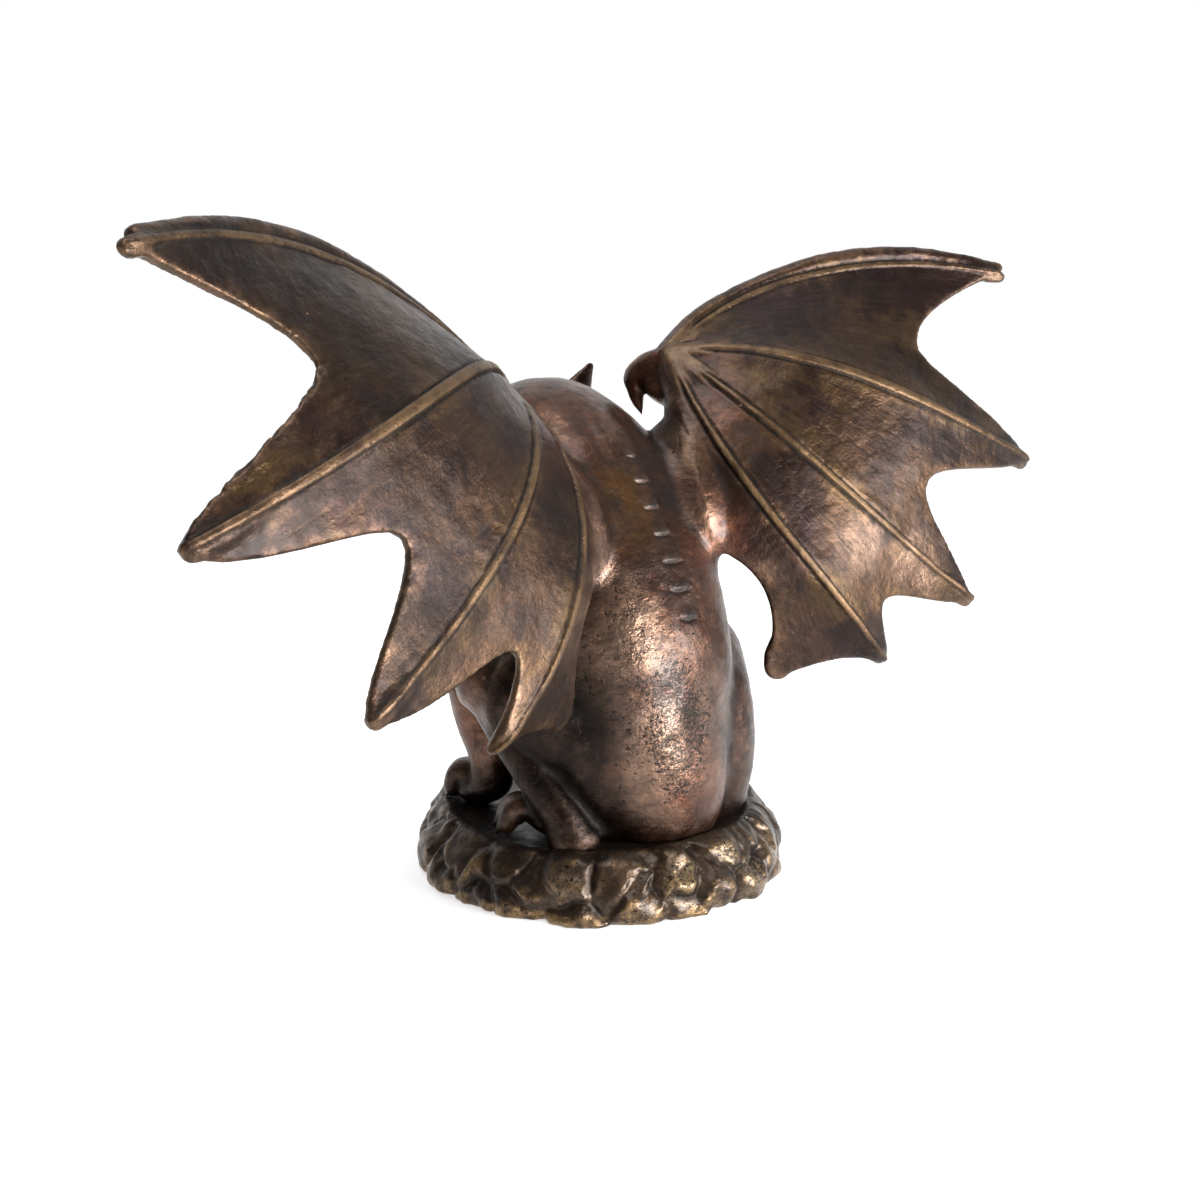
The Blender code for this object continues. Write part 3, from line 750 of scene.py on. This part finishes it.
def figure_masks(points, normals, edges):
    """Named 0 to 1 masks over the vertices for the patina, its painted shade and its painted highlights."""
    count = len(points)
    x, y, z = points.T
    ax = np.abs(x)
    names = ("rib", "groove", "web", "rim", "near", "across", "outward", "scale")
    masks = {name: np.zeros(count) for name in names}

    def add(name, values):
        masks[name] = np.maximum(masks[name], values)

    for side, own, found in wing_finds(points):
        strap, groove, distance, facing = strap_shape(found, normals[own])
        fade = 0.35 + 0.65 * ramp(facing, -0.1, 0.4)
        masks["rib"][own] = strap * fade * (1 - 0.6 * ramp(found["t"], 0.6, 0.95))
        broken = 0.75 + 0.9 * noise(points[own], 15, 72)
        masks["groove"][own] = groove * fade * ramp(found["edge"], 2, 8) * broken.clip(0.2, 1)
        masks["web"][own] = ramp(found["s"], 0.18, 0.4) * (1 - ramp(found["gap"], 2, 7))
        masks["rim"][own] = 1 - ramp(found["edge"], 0, 4)
        masks["near"][own] = np.maximum(1 - ramp(distance, 2, 17), 0.8 * (1 - ramp(found["edge"], 2, 16)))
        masks["across"][own] = found["web"] + found["f"]
        masks["outward"][own] = found["s"]
    masks["web"] *= ramp(ax, 50, 66)
    add("web", ramp(ax, 72, 92) * (z > 125))

    # convex and hollow places from the shape itself
    low = np.stack([spread(points[:, i], edges, count) for i in range(3)], 1)
    curve = ((points - low) * normals).sum(1)
    for _ in range(3):
        curve = 0.5 * curve + 0.5 * spread(curve, edges, count)
    masks["ridge"] = ramp(curve, 0.02, 0.16)
    masks["hollow"] = ramp(-curve, 0.02, 0.14)
    wide = relax(points, edges, np.full(count, 0.9), 22)
    deep = ((points - wide) * normals).sum(1)
    add("hollow", ramp(-deep, 0.15, 1.3))
    add("ridge", ramp(deep, 0.15, 1.3))

    # pores on the rump and flanks, amber high on the back, dark patina with painted shade round the legs,
    # painted highlights, grey painted highlights on the scales
    band = distance_from(points, (14, 80, 103), (1, 1.3, 1.9))
    wide = distance_from(points, (30, 70, 130), (1, 1.3, 1.5))
    pores = np.maximum(1 - ramp(band, 12, 34), 0.6 * (1 - ramp(wide, 28, 72)))
    masks["pores"] = pores * (1 - masks["web"])
    amber = distance_from(points, (14, 36, 221), (0.8, 1, 1.2))
    masks["amber"] = (1 - ramp(amber, 8, 36)) * (1 - masks["web"])
    arm = distance_from(np.column_stack([ax, y, z]), (44, 28, 248), (1, 1, 1.5))
    add("rib", 0.55 * (1 - ramp(arm, 4, 20)) * (x < 0))
    # painted shade, laid as dark patina: beside the shin, low at the front under the chest, and in the dark
    # patches
    shade_beside_shin = 1 - ramp(crease_distance(points), 7, 34)
    shade_low_in_front = ramp(-z, -70, -45) * ramp(-y, -40, 10)
    masks["patina_and_shade"] = np.max([shade_beside_shin, shade_low_in_front, patches(points, DARK_PATCHES)], axis=0)
    add("near", patches(points, GOLD_PATCHES))
    # painted highlights where the lamps would catch the body and the wings
    masks["painted_highlight"] = patches(points, HIGHLIGHT_PATCHES)
    along, off = spine_frame(points)
    for outline, d, size in scale_row(points, along):
        # the grey of each scale's lip is a painted highlight, and the dark line just under it a painted
        # shadow
        lip = outline * (off < 14) * (normals[:, 1] > 0)
        add("scale", lip * np.where(d < 0, bump(d, 1), bump(d, 2.6)))
        add("groove", lip * size * bump(d + 2.2, 1.2))
    return masks


# ---- figure ----


def skins_object(name):
    bm = bmesh.new()
    add_torso(bm)
    add_head(bm)
    for side in SIDES:
        add_limbs(bm, side)
        add_wing(bm, side)
    bmesh.ops.scale(bm, vec=(MM, MM, MM), verts=bm.verts)
    return mesh_object(name, bm)


def applied(ob):
    """The object's mesh with its modifiers applied, and the modifiers gone."""
    graph = bpy.context.evaluated_depsgraph_get()
    mesh = bpy.data.meshes.new_from_object(ob.evaluated_get(graph))
    ob.modifiers.clear()
    old = ob.data
    ob.data = mesh
    bpy.data.meshes.remove(old)
    return mesh


def soften(points, edges):
    """Smooths flesh more than wings, paws and face."""
    x, y, z = points.T
    ax = np.abs(x)
    thin = ramp(ax, 62, 80) * (z > 125)
    leg = ramp(ax, 44, 56) * (1 - ramp(z, 104, 120)) * (1 - ramp(y, 50, 62))
    face = ramp(-y, 88, 112) * (z > 195)
    paws = 1 - ramp(z, 48, 60)
    hand = ramp(z, 262, 272) * ramp(ax, 38, 48)
    fine = np.clip(thin + leg + face + hand + paws, 0, 1)
    scapula = distance_from(np.column_stack([ax, y, z]), (44, 42, 186), (1, 1, 1.3))
    loose = 1 - ramp(scapula, 10, 26)
    for side in SIDES:
        for place in finger_curve(side, 3, np.linspace(0.02, 0.3, 12)):
            loose = np.maximum(loose, 1 - ramp(distance_from(points, mirrored(place, side)), 5, 10))
    points = relax(points, edges, 0.5 * (1 - fine), round(47 / VOXEL**2))
    points = relax(points, edges, 0.6 * loose, round(60 / VOXEL**2))
    return relax(points, edges, np.full(len(points), 0.5), round(6 / VOXEL**2))


def paint(mesh, masks, material):
    """Stores the masks as attributes, which the material reads, and gives the mesh the material."""
    for name, values in masks.items():
        layer = mesh.attributes.new(name, "FLOAT", "POINT")
        layer.data.foreach_set("value", values.astype(np.float32))
    mesh.materials.clear()
    mesh.materials.append(material)


def make_figure():
    ob = skins_object("gargoyle_cast")
    fuse = ob.modifiers.new("fuse", "REMESH")
    fuse.mode = "VOXEL"
    fuse.voxel_size = VOXEL * MM
    mesh = applied(ob)
    points, normals, edges = mesh_arrays(mesh)
    store(mesh, soften(points, edges))
    points, normals, edges = mesh_arrays(mesh)
    store(mesh, carve(points, normals))
    thin = ob.modifiers.new("thin", "DECIMATE")
    thin.ratio = FIGURE_TRIANGLES / (2 * len(mesh.polygons))
    thin.use_collapse_triangulate = True
    mesh = applied(ob)
    mesh.shade_smooth()
    points, normals, edges = mesh_arrays(mesh)
    paint(mesh, figure_masks(points, normals, edges), bronze("figure_patina", figure=True))
    return ob


# ---- plinth ----

# Boulders of the side that shows: bearing in degrees, height, and how far out they stand
BOULDERS = (
    (-44, 14, 1), (-34, 25, 0.5), (-22, 16, 2), (-9, 12, 2.5), (-1, 25, 0.5), (9, 19, 2),
    (13, 4, 2.5), (20, 25, 1), (23, 9, 3), (29, 18, 1.5), (39, 21, 2.5), (42, 4, 3),
    (53, 24, 0.5), (61, 12, 2), (75, 21, 4.5), (77, 3, 0.5), (87, 13, 3.5), (95, 28, 1.5),
    (102, 13, 4), (107, 27, -1), (116, 18, 1.5), (121, 4, 1), (131, 20, -1),
)
UNSEEN_BOULDERS = 18


def boulders():
    """Centres and heights of all boulders: the ones listed, then plainer ones round the rest."""
    rocks = list(BOULDERS)
    for n in range(UNSEEN_BOULDERS):
        bearing = 145 + 164 * (n + 0.5) / UNSEEN_BOULDERS
        rocks.append((bearing, (13, 24)[n % 2] + 3 * math.sin(5 * n), 1.5 + 2 * math.sin(2.3 * n)))
    bearing, level, out = np.array(rocks).T
    a = np.radians(bearing)
    r = PLINTH_RADIUS - 2 - 6 * (level > 22)
    return np.column_stack([r * np.cos(a), r * np.sin(a), level]), out


PLINTH_PROFILE = (  # out from PLINTH_RADIUS, and height, up the side and over the crest to the ledge
    (-0.5, 0), (1, 2), (1, 7), (-0.5, 14), (-3.5, 21),
    (-8, 27.5), (-12.5, 32.5), (-17, 34), (-22, 33.3),
)
LEDGE_RINGS = (-24, -28, -34, -44, -58, -75)  # rings of the ledge, out from PLINTH_RADIUS
PLINTH_TURNS = 1000


def make_plinth():
    """The round rock plinth: a turned side and ledge, broken into boulders with crevices between."""
    profile = smooth_path(PLINTH_PROFILE, 8)
    profile = np.vstack([profile, [(inset, LEDGE) for inset in LEDGE_RINGS]])
    inset, height = (np.repeat(column, PLINTH_TURNS) for column in profile.T)
    turn = np.tile(turns_of(PLINTH_TURNS), len(profile))
    radius = PLINTH_RADIUS + inset
    place = np.column_stack([radius * np.cos(turn), radius * np.sin(turn), height])
    warp = np.column_stack([rough_noise(place, 17, 50 + k, 3) for k in range(3)]) * 9
    centres, out = boulders()
    nearest = np.full(len(place), 1e9)
    second = np.full(len(place), 1e9)
    own = np.zeros(len(place))
    for centre, stands in zip(centres, out):
        d = distance_from(place + warp, centre, (1, 1, 0.9))
        second = np.minimum(second, np.maximum(nearest, d))
        own = np.where(d < nearest, stands, own)
        nearest = np.minimum(nearest, d)
    gap = second - nearest
    crevice = 1 - ramp(gap, 0, 7)
    rock = own * ramp(gap, 0, 14) + 1.6 * (1 - (nearest / 20) ** 2).clip(-1, 1) - 1.3 * crevice
    drawn = (place + 0.6 * warp) / (1, 1, 1.35)
    ridges = 1 - 3 * np.abs(rough_noise(drawn, 24, 44, 2))
    dents = ramp(rough_noise(drawn, 17, 46, 2), 0.1, 0.6)
    lumps = rough_noise(place, 10, 41, 3)
    grit = rough_noise(place, 3, 42, 2)
    side = ramp(inset, -22, -11)
    radius = radius + side * (rock + 2 * ridges - 3.4 * dents + 0.8 * lumps + 0.25 * grit)
    rim = ramp(height, 27, 32) * ramp(inset, -30, -9)
    height = height + rim * (0.5 * rock + 0.8 * lumps) + ramp(height, 31, 33) * (0.35 * lumps + 0.1 * grit)
    lip = bump(np.degrees(turn) - 85, 34) * bump(inset + 19, 6)
    height = np.where(np.arange(len(height)) < PLINTH_TURNS, 0, height + 2.6 * lip)
    points = np.column_stack([radius * np.cos(turn), radius * np.sin(turn), height])
    bm = bmesh.new()
    rings = points.reshape(len(profile), PLINTH_TURNS, 3)
    add_rings(bm, rings * MM, Vector((0, 0, 0)), Vector((0, 0, LEDGE * MM)))
    ob = mesh_object("plinth_cast", bm)
    mesh = ob.data
    mesh.shade_smooth()
    points, normals, edges = mesh_arrays(mesh)
    count = len(points)
    free = np.where(points[:, 2] < 0.5, 0, 0.5)  # the underside stays flat
    store(mesh, relax(points, edges, free, 3))
    points, normals, edges = mesh_arrays(mesh)
    wide = relax(points, edges, np.full(count, 0.9), 90)
    deep = ((points - wide) * normals).sum(1)
    # hollows get dark patina with painted shade; the ledge's flat top is darkened half as much
    top = ramp(normals[:, 2], 0.7, 0.9) * ramp(points[:, 2], 29, 32)
    hollow = np.maximum(ramp(-deep, 0.1, 1.8), 0.5 * top)
    # brass-coloured painted highlights on the boulders in ROCK_PATCHES, away from the hollows
    painted_highlight = patches(points, ROCK_PATCHES) * (1 - hollow)
    masks = {"ridge": ramp(deep, 0.5, 2.2) * (1 - 0.8 * top), "hollow": hollow, "painted_highlight": painted_highlight}
    paint(mesh, masks | {"pores": 0.5 + 0.5 * painted_highlight}, bronze("plinth_patina", figure=False))
    return ob


# ---- patina ----


class Nodes:
    """A short way to write the node tree of a material or a world."""

    def __init__(self, owner):
        owner.use_nodes = True
        self.tree = owner.node_tree

    def add(self, kind, inputs=None, **settings):
        node = self.tree.nodes.new(kind)
        for key, value in settings.items():
            setattr(node, key, value)
        self.feed(node, inputs or {})
        return node

    def feed(self, node, inputs):
        """Links or sets the node's inputs."""
        for key, value in inputs.items():
            if isinstance(value, bpy.types.NodeSocket):
                self.tree.links.new(value, node.inputs[key])
            else:
                node.inputs[key].default_value = value

    def mask(self, name):
        """The named attribute of the mesh, 0 where the mesh has none."""
        return self.add("ShaderNodeAttribute", attribute_name=name).outputs["Fac"]

    def noise(self, scale, detail, rough, shift=0, stretch=(1, 1, 1)):
        place = self.tree.nodes.get("place") or self.add("ShaderNodeTexCoord", name="place")
        move = {"Vector": place.outputs["Object"], "Location": (shift, shift * 0.7, -shift), "Scale": stretch}
        moved = self.add("ShaderNodeMapping", move).outputs["Vector"]
        look = {"Vector": moved, "Scale": scale, "Detail": detail, "Roughness": rough}
        return self.add("ShaderNodeTexNoise", look).outputs["Fac"]

    def strokes(self):
        """Fine brush marks: along the fingers on the webs, and round the body elsewhere."""
        flow = self.add("ShaderNodeCombineXYZ", {"X": self.mask("across"), "Y": self.mask("outward")})
        drawn = self.add("ShaderNodeMapping", {"Vector": flow.outputs["Vector"], "Scale": (30, 7, 1)})
        look = {"Vector": drawn.outputs["Vector"], "Scale": 1, "Detail": 4, "Roughness": 0.7}
        on_web = self.add("ShaderNodeTexNoise", look).outputs["Fac"]
        on_body = self.noise(170, 3, 0.65, 8.3, (0.6, 0.6, 1.5))
        inputs = {0: self.mask("web"), 2: on_body, 3: on_web}
        return self.add("ShaderNodeMix", inputs, data_type="FLOAT").outputs[0]

    def ramp(self, value, low, high, start=0, end=1):
        inputs = {"Value": value, "From Min": low, "From Max": high, "To Min": start, "To Max": end}
        return self.add("ShaderNodeMapRange", inputs, interpolation_type="SMOOTHSTEP").outputs["Result"]

    def math(self, kind, a, b):
        return self.add("ShaderNodeMath", {0: a, 1: b}, operation=kind).outputs[0]

    def times(self, a, b):
        return self.math("MULTIPLY", a, b)

    def share(self, name, strength):
        """A mask at less than its full strength."""
        return self.times(self.mask(name), strength)

    def total(self, *parts):
        value = parts[0]
        for part in parts[1:]:
            value = self.math("ADD", value, part)
        return value

    def coats(self, colour, *coats):
        """Colours laid over each other, each by its share."""
        for share, coat in coats:
            inputs = {0: share}
            for socket, value in ((6, colour), (7, coat)):
                inputs[socket] = (*value, 1) if isinstance(value, tuple) else value
            colour = self.add("ShaderNodeMix", inputs, data_type="RGBA").outputs[2]
        return colour


# near-black of the dark patina with painted shade
DARK_PATINA_AND_SHADE = (0.009, 0.006, 0.005)


def bronze(name, figure):
    """Dark brown patina over bronze: copper, and brass on the polished ridges, painted highlights, and black
    in the hollows as dark patina with painted shade.
    """
    material = bpy.data.materials.new(name)
    n = Nodes(material)
    large = n.noise(11, 4, 0.6)
    patch = n.noise(24, 4, 0.6, 3.1)
    small = n.noise(110, 4, 0.65, 1.7)
    grain = n.noise(800, 3, 0.65)
    rub = n.noise(70, 5, 0.7, 5.3)
    brushed = n.strokes()

    if figure:
        red_brown = (n.ramp(large, 0.35, 0.65), (0.108, 0.036, 0.015))
        amber = (n.share("amber", 0.7), (0.1, 0.046, 0.011))
        body = n.coats((0.028, 0.01, 0.005), red_brown, amber)
        brown = (n.ramp(patch, 0.36, 0.58), (0.045, 0.02, 0.011))
        golden = n.times(n.ramp(patch, 0.43, 0.58, 0.05, 0.8), n.ramp(n.mask("near"), 0, 1, 0.3, 1))
        purple = (n.ramp(large, 0.5, 0.62, 0, 0.85), (0.022, 0.009, 0.01))
        web = n.coats((0.011, 0.005, 0.004), brown, (golden, (0.098, 0.055, 0.019)), purple)
        # painted highlights in pale copper; then the dark patina with painted shade over all
        highlight_coat = (n.share("painted_highlight", 0.65), (0.25, 0.155, 0.105))
        colour = n.coats(body, (n.mask("web"), web), (n.share("patina_and_shade", 0.85), DARK_PATINA_AND_SHADE), highlight_coat)
    else:
        grey_brown = (n.ramp(large, 0.38, 0.62), (0.058, 0.033, 0.016))
        # brass-coloured painted highlights on the brightest boulders
        highlight_coat = (n.share("painted_highlight", 0.8), (0.4, 0.28, 0.165))
        colour = n.coats((0.021, 0.011, 0.009), grey_brown, highlight_coat)
    bright = (0.24, 0.135, 0.085) if figure else (0.33, 0.205, 0.09)
    on_ridges = n.times(n.mask("ridge"), n.ramp(rub, 0.42, 0.62))
    colour = n.coats(
        colour,
        (n.ramp(patch, 0.3, 0.7, 0, 0.4), (0.02, 0.011, 0.008)),
        (n.ramp(small, 0.45, 0.66, 0, 0.48), (0.01, 0.006, 0.005)),
        (n.ramp(brushed, 0.46, 0.68, 0, 0.42), (0.011, 0.007, 0.006)),
        (n.ramp(brushed, 0.3, 0.46, 0.1, 0), (0.2, 0.125, 0.075)),
        (n.times(on_ridges, 0.35 if figure else 0.62), bright),
        (n.times(n.mask("rib"), n.ramp(rub, 0.3, 0.62, 0.15, 0.85)), (0.12, 0.072, 0.034)),
        (n.share("rim", 0.2), (0.16, 0.105, 0.06)),
    )
    if figure:
        # more dark patina with painted shade, off the wings
        off_web = n.math("SUBTRACT", 0.75, n.share("web", 0.75))
        colour = n.coats(colour, (n.times(n.mask("patina_and_shade"), off_web), DARK_PATINA_AND_SHADE))
    # hollows and grooves darkened as dark patina with painted shade; the scale lips' grey is a painted
    # highlight
    colour = n.coats(
        colour,
        (n.share("hollow", 0.85), (0.01, 0.008, 0.007)),
        (n.share("scale", 0.85), (0.03, 0.027, 0.027)),
        (n.share("groove", 0.65), (0.012, 0.009, 0.007)),
    )

    likely = n.total(n.times(n.noise(55, 3, 0.6, 2.9), 0.3), n.share("pores", 0.23))
    flat = (1, 1, 1.5)
    coarse = n.total(n.noise(340, 2, 0.6, 7.7, flat), likely)
    fine = n.total(n.noise(850, 2, 0.6, 4.1, flat), likely)
    pits = n.math("MAXIMUM", n.ramp(coarse, 0.905, 0.94), n.times(n.ramp(fine, 0.89, 0.95), 0.8))
    colour = n.coats(colour, (n.times(pits, 0.82), (0.009, 0.008, 0.007)))
    dull = n.math("MAXIMUM", n.math("MAXIMUM", n.mask("hollow"), n.mask("patina_and_shade")), pits)
    coat = n.math("SUBTRACT", 0.32, n.share("web", 0.22))
    rough = n.total(
        n.ramp(small, 0.3, 0.7, 0.27, 0.43),
        n.times(brushed, 0.08),
        n.share("hollow", 0.2),
        n.share("rib", 0.1),
        n.share("scale", 0.15),
        n.share("painted_highlight", -0.08),
    )
    height = n.total(
        n.times(grain, 0.2),
        n.times(small, 0.6),
        n.times(n.noise(260, 2, 0.5, 6.1), 0.45),
        n.times(brushed, 0.24),
        n.times(pits, -0.9),
    )
    bumps = n.add("ShaderNodeBump", {"Height": height, "Distance": 0.001, "Strength": 0.95})
    finish = {
        "Base Color": colour,
        "Metallic": 0.85,
        "Roughness": rough,
        "Coat Weight": n.times(coat, n.ramp(dull, 0, 1, 1, 0.1)),
        "Coat Roughness": 0.27,
        "Normal": bumps.outputs["Normal"],
    }
    n.feed(n.tree.nodes["Principled BSDF"], finish)
    return material


# ---- stage ----


def make_floor():
    """A pale floor that shines a little, so that it meets the white background unseen."""
    mesh = bpy.data.meshes.new("floor")
    far, level = 6, -0.0005
    corners = [(-far, -far, level), (far, -far, level), (far, far, level), (-far, far, level)]
    mesh.from_pydata(corners, [], [(0, 1, 2, 3)])
    floor = new_object("floor", mesh)
    material = bpy.data.materials.new("floor_paint")
    n = Nodes(material)
    finish = {
        "Base Color": (0.85, 0.85, 0.85, 1),
        "Roughness": 0.9,
        "Specular IOR Level": 0.1,
        "Emission Color": (1, 1, 1, 1),
        "Emission Strength": 0.62,
    }
    n.feed(n.tree.nodes["Principled BSDF"], finish)
    mesh.materials.append(material)


STATUE_CENTRE = Vector((0, 0, 0.17))


def add_light(name, place, target, size, watts):
    """A rectangular lamp at a place in metres, turned to its target."""
    data = bpy.data.lights.new(name, "AREA")
    data.shape = "RECTANGLE"
    data.size, data.size_y = size
    data.energy = watts
    light = new_object(name, data)
    light.location = place
    light.rotation_euler = (target - Vector(place)).to_track_quat("-Z", "Y").to_euler()


def around(bearing, elevation, distance):
    """A place round the statue's centre, at a bearing from +X towards +Y and an elevation."""
    b, e = math.radians(bearing), math.radians(elevation)
    level = distance * math.cos(e)
    return STATUE_CENTRE + Vector((level * math.cos(b), level * math.sin(b), distance * math.sin(e)))


def make_light():
    """A pale studio: the room is bright behind the statue and dimmer elsewhere, with soft boxes."""
    scene = bpy.context.scene
    scene.view_settings.view_transform = "Standard"
    world = bpy.data.worlds.new("studio")
    scene.world = world
    n = Nodes(world)
    behind = math.radians(50)
    sky = n.add("ShaderNodeTexCoord").outputs["Generated"]
    aim = {0: sky, 1: (-math.cos(behind), -math.sin(behind), 0)}
    along = n.add("ShaderNodeVectorMath", aim, operation="DOT_PRODUCT").outputs["Value"]
    seen = n.add("ShaderNodeLightPath").outputs["Is Camera Ray"]
    strength = n.math("MAXIMUM", n.ramp(along, -0.2, 0.8, 0.2, 1), seen)
    n.feed(n.tree.nodes["Background"], {"Color": (1, 1, 1, 1), "Strength": strength})
    add_light("window", around(102, 2, 1.5), STATUE_CENTRE, (0.6, 0.5), 39)
    add_light("card", (-0.67, 0.9, 0.4), Vector((-0.13, 0.09, 0.19)), (0.26, 0.26), 6)
    add_light("ceiling", around(60, 75, 1.8), STATUE_CENTRE, (1.2, 1.2), 22)


def make_camera():
    """The camera that looks from behind the gargoyle's left side, rolled very slightly."""
    target, distance = Vector((-0.28, -2.24, 157.5)) * MM, 857.6 * MM
    turn, rise, roll = math.radians(40.22), math.radians(11.43), math.radians(0.47)
    away = Vector((math.sin(turn) * math.cos(rise), math.cos(turn) * math.cos(rise), math.sin(rise)))
    data = bpy.data.cameras.new("camera")
    data.lens = 43.25
    data.sensor_width = 36
    data.clip_start = 0.05
    camera = new_object("camera", data)
    turned = away.to_track_quat("Z", "Y").to_matrix() @ Matrix.Rotation(roll, 3, "Z")
    camera.matrix_world = Matrix.LocRotScale(target + away * distance, turned, None)
    bpy.context.scene.camera = camera


WINGS = {side: WingMap(side) for side in SIDES}
RIBS = {side: RibMap(side) for side in SIDES}
figure = make_figure()
plinth = make_plinth()
for piece, node, slot in ((figure, "gargoyle", "figure_bronze"), (plinth, "rock_plinth", "plinth_bronze")):
    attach(piece, "root")
    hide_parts(node)
make_floor()
make_light()
make_camera()
